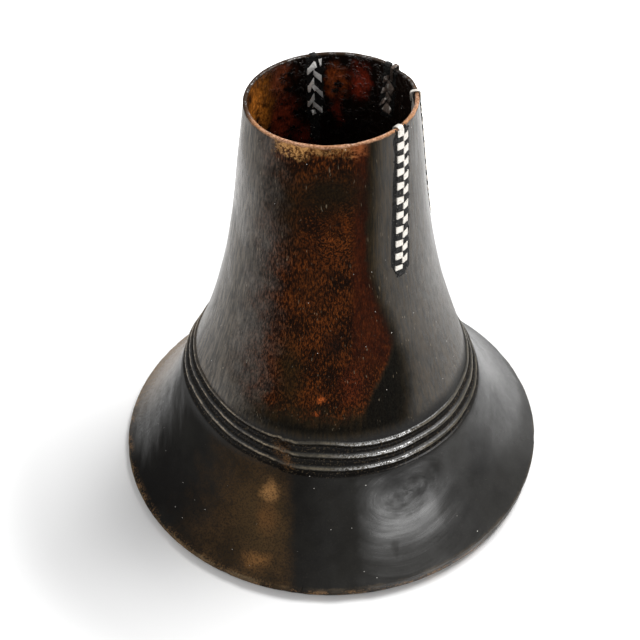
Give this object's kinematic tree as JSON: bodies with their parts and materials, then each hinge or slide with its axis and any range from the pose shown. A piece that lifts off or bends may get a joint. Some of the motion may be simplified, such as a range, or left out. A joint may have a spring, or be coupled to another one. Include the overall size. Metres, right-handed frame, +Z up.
{
  "type": "wooden milk vessel",
  "caption": "Carved dark wood milk vessel: wide skirt foot, ring band and tall tapering neck, its cracks laced with flat aluminium strip and closed with gum.",
  "frame": {"origin": "centre of the flat foot, on the surface that the vessel stands on", "axes": "+Z up along the turning axis to the mouth; -Y is the front, as pictured; +X is to the right"},
  "size_m": [0.2588, 0.2588, 0.2575],
  "materials": {
    "oiled_wood": "dark, smoked and oiled, satin with worn edges",
    "aluminium_strip": "hand-cut sheet strip, hammered flat, slightly dull",
    "gum": "hardened dark plant gum with grime"
  },
  "bodies": {
    "root": {"vessel_body": "oiled_wood", "front_right_lacing": "aluminium_strip", "front_right_gum_seal": "gum", "right_lacing": "aluminium_strip", "right_gum_seal": "gum", "back_right_lacing": "aluminium_strip", "back_right_gum_seal": "gum", "back_left_lacing": "aluminium_strip", "back_left_gum_seal": "gum"}
  },
  "joints": []
}
